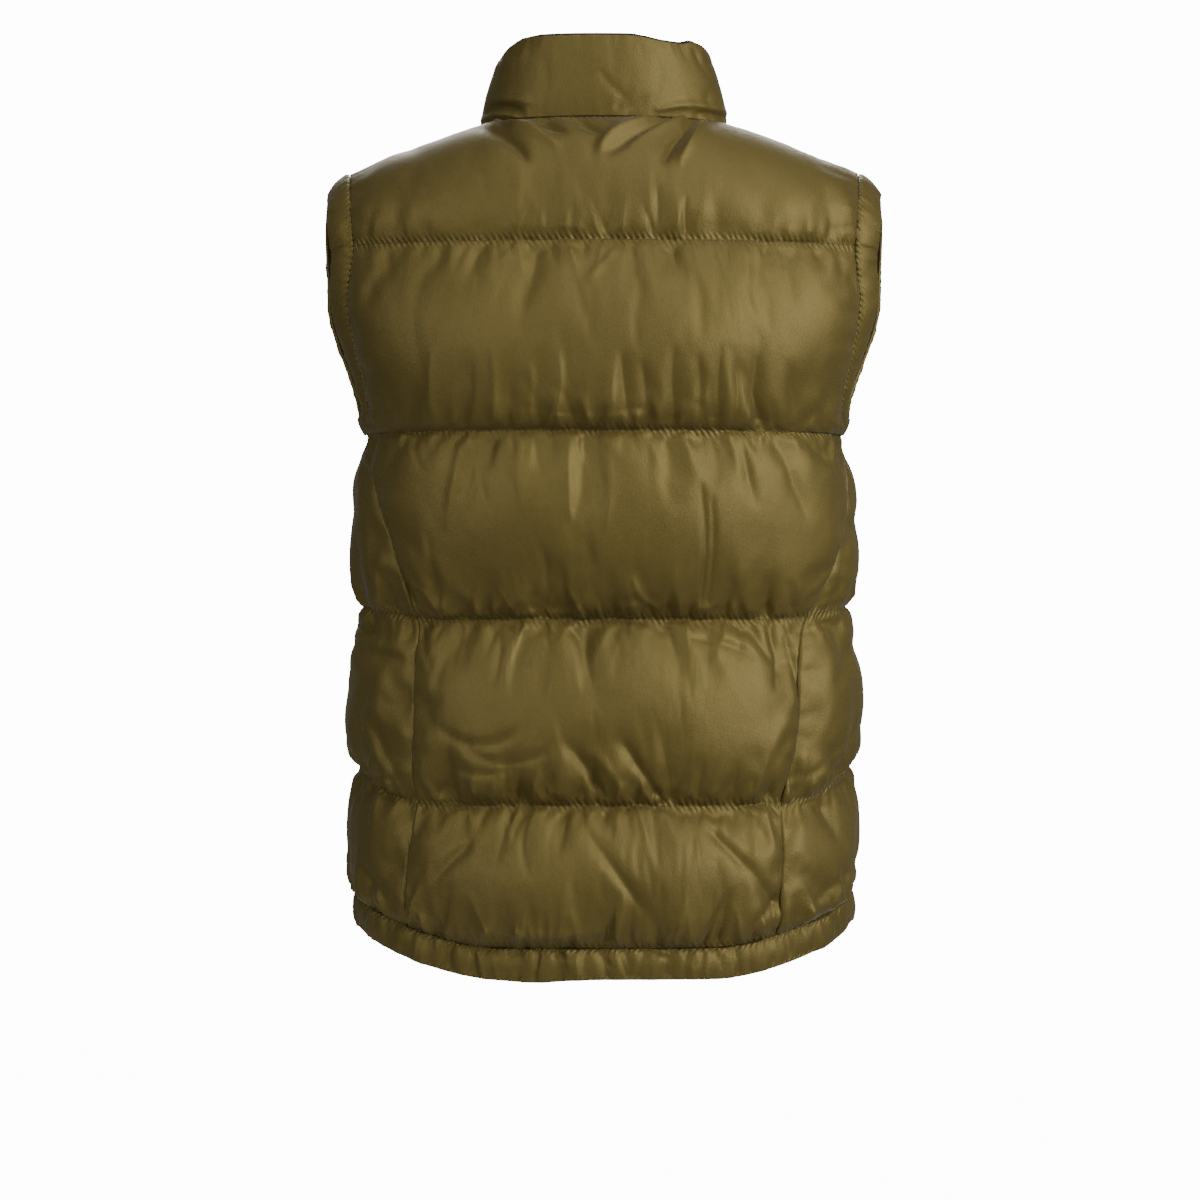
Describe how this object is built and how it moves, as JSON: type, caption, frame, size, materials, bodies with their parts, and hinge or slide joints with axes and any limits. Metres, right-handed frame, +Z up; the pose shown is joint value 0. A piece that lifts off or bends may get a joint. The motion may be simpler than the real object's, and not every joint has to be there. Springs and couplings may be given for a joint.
{
  "type": "quilted puffer vest, worn, zip closed",
  "caption": "Padded sleeveless vest with stand collar, horizontal quilting, padded armhole bands, drop-tail hem band and a closed front zip.",
  "frame": {"origin": "middle of the neck opening at the height of the back neck seam, inside the wearer's neck", "axes": "+Z up the wearer's body, +Y out of the wearer's back, +X to the wearer's left; the zip is on the -Y side"},
  "size_m": [0.4505, 0.26, 0.7379],
  "materials": {
    "shell_satin": "olive polyester satin, soft sheen",
    "lining_dark": "plain dark navy lining, slightly glossy",
    "zip_tape": "ribbed olive tape",
    "zip_teeth": "moulded olive plastic",
    "zip_metal": "dark plated metal"
  },
  "bodies": {
    "vest": {"back_panel": "shell_satin", "front_left": "shell_satin", "front_right": "shell_satin", "collar": "shell_satin", "collar_lining": "lining_dark", "hem_band": "shell_satin", "armhole_band_left": "shell_satin", "armhole_band_right": "shell_satin", "zip_tape_left": "zip_tape", "zip_tape_right": "zip_tape", "zip_chain": "zip_teeth", "zip_slider": "zip_metal"},
    "zip_pull": {"zip_pull": "zip_metal"}
  },
  "joints": [
    {"name": "zip_pull_hinge", "type": "hinge", "parent": "vest", "child": "zip_pull", "pos_m": [0, -0.08823, -0.00259], "axis": [-1, 0, 0], "range_deg": [0, 170]}
  ]
}
